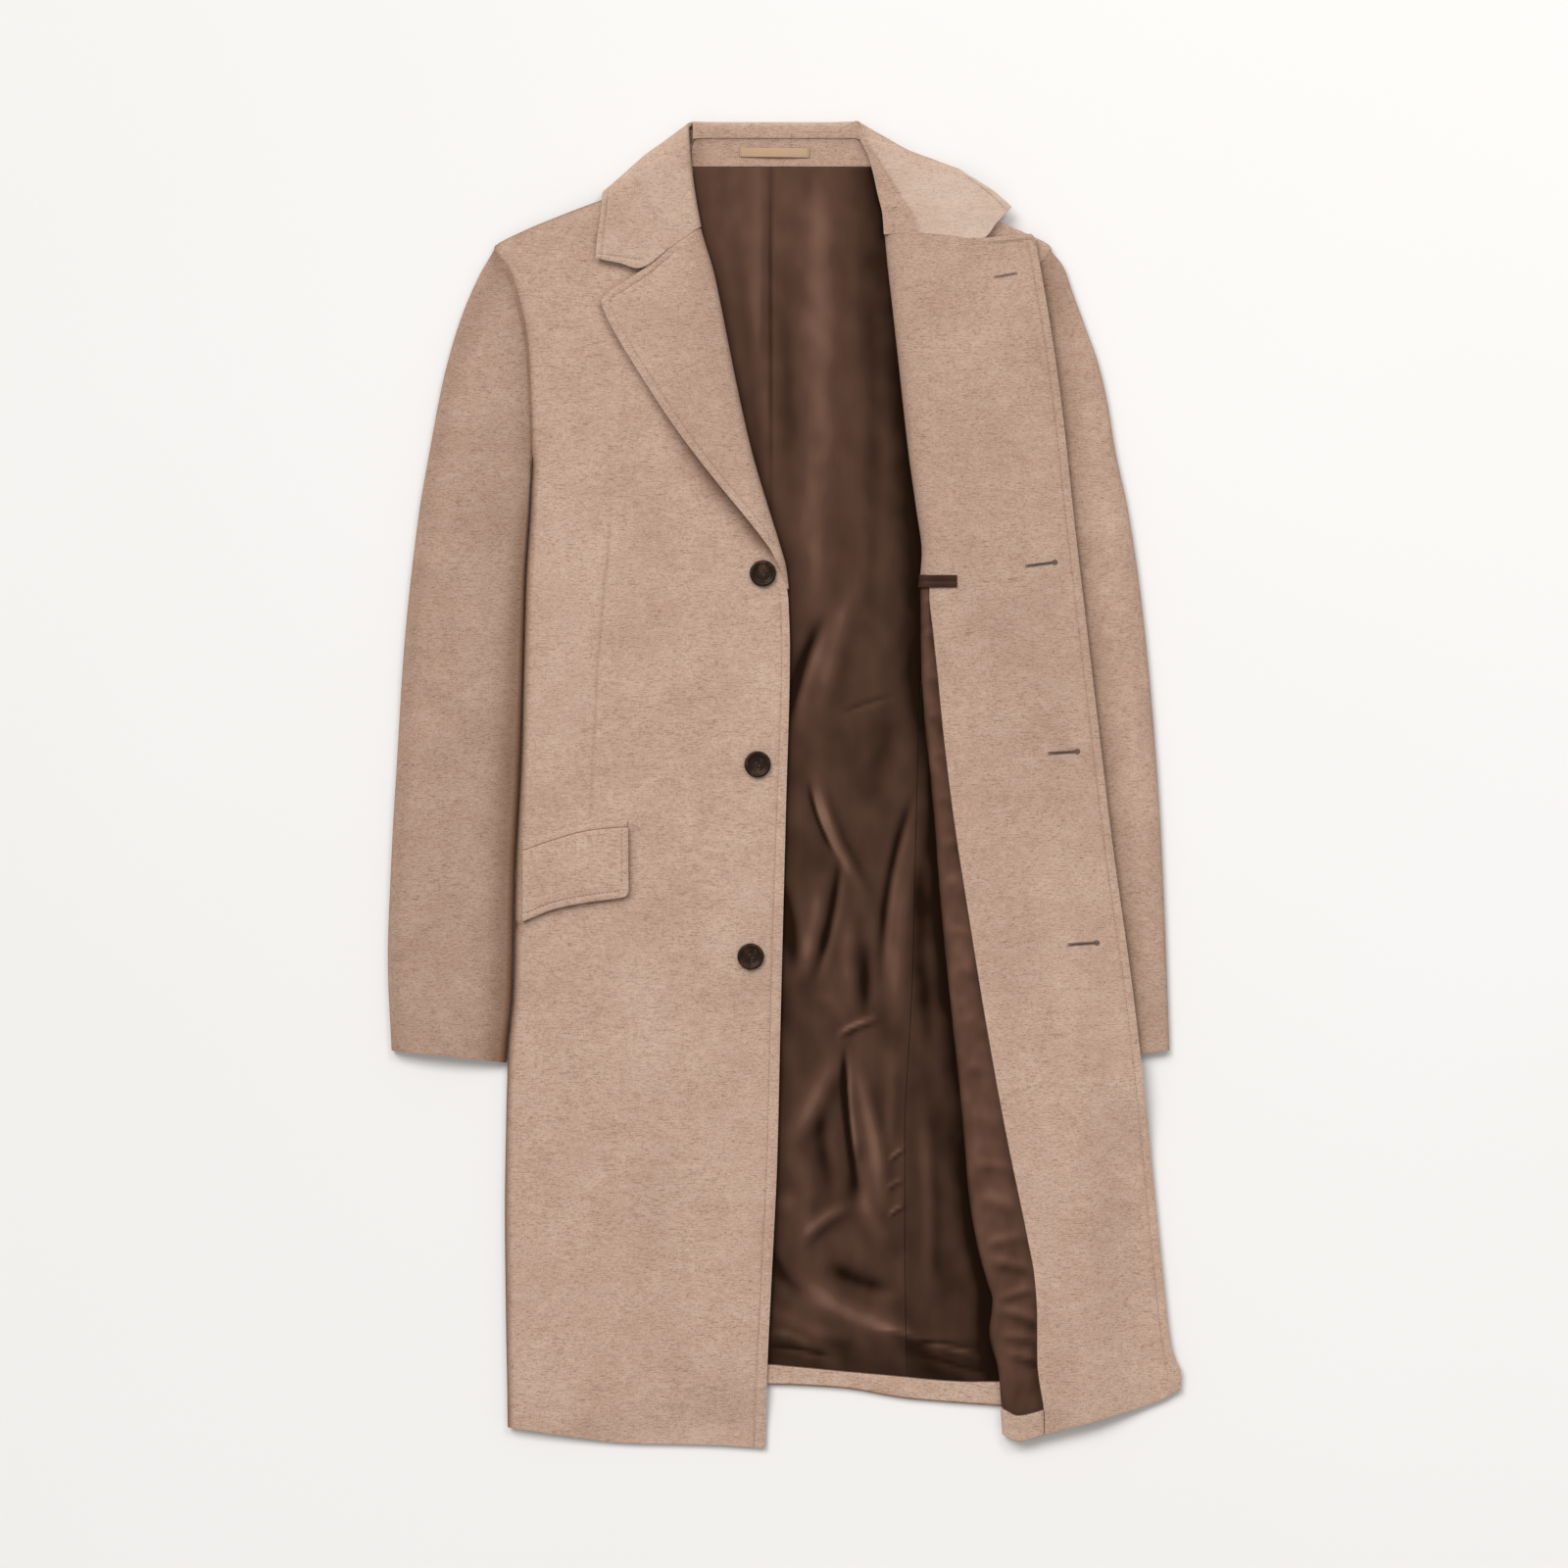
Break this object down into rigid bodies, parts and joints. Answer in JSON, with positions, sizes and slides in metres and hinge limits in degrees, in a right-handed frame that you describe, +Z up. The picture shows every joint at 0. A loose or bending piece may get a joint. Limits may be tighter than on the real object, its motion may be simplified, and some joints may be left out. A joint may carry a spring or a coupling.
{
  "type": "wool overcoat",
  "caption": "Single-breasted beige wool overcoat with notch lapels and brown satin lining, laid flat with its left front turned back.",
  "frame": {"origin": "on the surface that the coat lies on, under the middle of its outline", "axes": "+Y from the hems to the collar, +X to the viewer's right seen from above (the wearer's left), +Z up off the surface"},
  "size_m": [0.6397, 1.0703, 0.0201],
  "materials": {
    "wool": "matte",
    "lining": "satin",
    "loop": "satin",
    "button": "gloss"
  },
  "bodies": {
    "root": {"back_right": "wool", "back_left": "wool", "right_front": "wool", "left_front": "wool", "right_facing": "wool", "left_facing": "wool", "neck_facing": "wool", "collar": "wool", "collar_stand": "wool", "sleeve_right_upper": "wool", "sleeve_right_under": "wool", "sleeve_left_upper": "wool", "sleeve_left_under": "wool", "pocket_flap": "wool", "pocket_jet": "wool", "back_hem": "wool", "front_hem": "wool", "lining_back": "lining", "lining_side": "lining", "lining_front": "lining", "inner_pocket_jet": "lining", "hanger_loop": "loop", "button_1": "button", "button_2": "button", "button_3": "button"}
  },
  "joints": []
}
